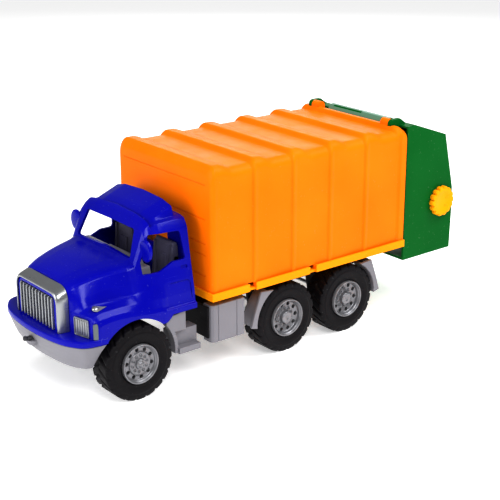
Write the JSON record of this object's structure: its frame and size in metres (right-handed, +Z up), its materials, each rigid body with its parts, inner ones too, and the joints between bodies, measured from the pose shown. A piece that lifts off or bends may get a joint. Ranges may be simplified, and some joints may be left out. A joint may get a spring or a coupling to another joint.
{
  "type": "toy garbage truck",
  "caption": "Toy refuse truck with bonnet cab, ribbed body that tips on its frame, lifting tailgate, turning bin lift and rolling wheels.",
  "frame": {"origin": "on the ground, under the middle of the truck's overall box", "axes": "+X forwards along the truck, +Y to the truck's left, +Z up"},
  "size_m": [0.539, 0.1828, 0.2354],
  "materials": {
    "steel": "bright drawn steel",
    "black_tyre": "soft satin black moulding",
    "silver_rim": "metallic silver plastic",
    "dark_frame": "matt black moulding",
    "grey_plastic": "satin light grey moulding",
    "dark_hook": "satin dark grey moulding",
    "dark_grey_plastic": "satin dark grey moulding",
    "blue_plastic": "glossy blue moulding",
    "silver_trim": "metallised silver trim",
    "orange_plastic": "glossy orange moulding",
    "yellow_orange_plastic": "glossy yellow-orange moulding",
    "green_plastic": "glossy green moulding",
    "yellow_plastic": "glossy yellow moulding"
  },
  "bodies": {
    "chassis": {"chassis_frame": "dark_frame", "front_bumper": "grey_plastic", "left_step": "grey_plastic", "right_step": "grey_plastic", "left_toolbox": "grey_plastic", "right_toolbox": "grey_plastic", "left_front_mudguard": "grey_plastic", "right_front_mudguard": "grey_plastic", "left_rear_mudguard": "grey_plastic", "right_rear_mudguard": "grey_plastic", "dashboard": "grey_plastic", "tow_hook": "dark_hook", "tip_pin": "steel", "frame_screw_1": "steel", "frame_screw_2": "steel", "frame_screw_3": "steel", "frame_screw_4": "steel", "cab_shell": "blue_plastic", "seat_unit": "dark_grey_plastic", "grille_surround": "silver_trim", "grille_bars": "silver_trim", "left_headlamp": "silver_trim", "right_headlamp": "silver_trim", "left_indicator": "silver_trim", "right_indicator": "silver_trim", "left_fender_marker": "silver_trim", "right_fender_marker": "silver_trim"},
    "front_wheels": {"front_axle": "steel", "front_left_tyre": "black_tyre", "front_left_rim": "silver_rim", "front_right_tyre": "black_tyre", "front_right_rim": "silver_rim"},
    "middle_wheels": {"middle_axle": "steel", "middle_left_tyre": "black_tyre", "middle_left_rim": "silver_rim", "middle_right_tyre": "black_tyre", "middle_right_rim": "silver_rim"},
    "rear_wheels": {"rear_axle": "steel", "rear_left_tyre": "black_tyre", "rear_left_rim": "silver_rim", "rear_right_tyre": "black_tyre", "rear_right_rim": "silver_rim"},
    "refuse_body": {"body_shell": "orange_plastic", "body_floor": "yellow_orange_plastic"},
    "tailgate_body": {"tailgate": "green_plastic"},
    "lift": {"lift_fork": "yellow_plastic", "left_knob": "yellow_plastic", "right_knob": "yellow_plastic"}
  },
  "joints": [
    {"name": "front_axle_turn", "type": "hinge", "parent": "chassis", "child": "front_wheels", "pos_m": [0.1836, 0, 0.04], "axis": [0, 1, 0], "continuous": true},
    {"name": "middle_axle_turn", "type": "hinge", "parent": "chassis", "child": "middle_wheels", "pos_m": [-0.0111, 0, 0.04], "axis": [0, 1, 0], "continuous": true},
    {"name": "rear_axle_turn", "type": "hinge", "parent": "chassis", "child": "rear_wheels", "pos_m": [-0.1008, 0, 0.04], "axis": [0, 1, 0], "continuous": true},
    {"name": "body_tip", "type": "hinge", "parent": "chassis", "child": "refuse_body", "pos_m": [-0.1666, 0, 0.075], "axis": [0, -1, 0], "range_deg": [0, 38]},
    {"name": "tailgate_open", "type": "hinge", "parent": "refuse_body", "child": "tailgate_body", "pos_m": [-0.1801, 0, 0.23], "axis": [0, 1, 0], "range_deg": [0, 80]},
    {"name": "lift_turn", "type": "hinge", "parent": "tailgate_body", "child": "lift", "pos_m": [-0.2475, 0, 0.13], "axis": [0, 1, 0], "range_deg": [0, 130]}
  ]
}
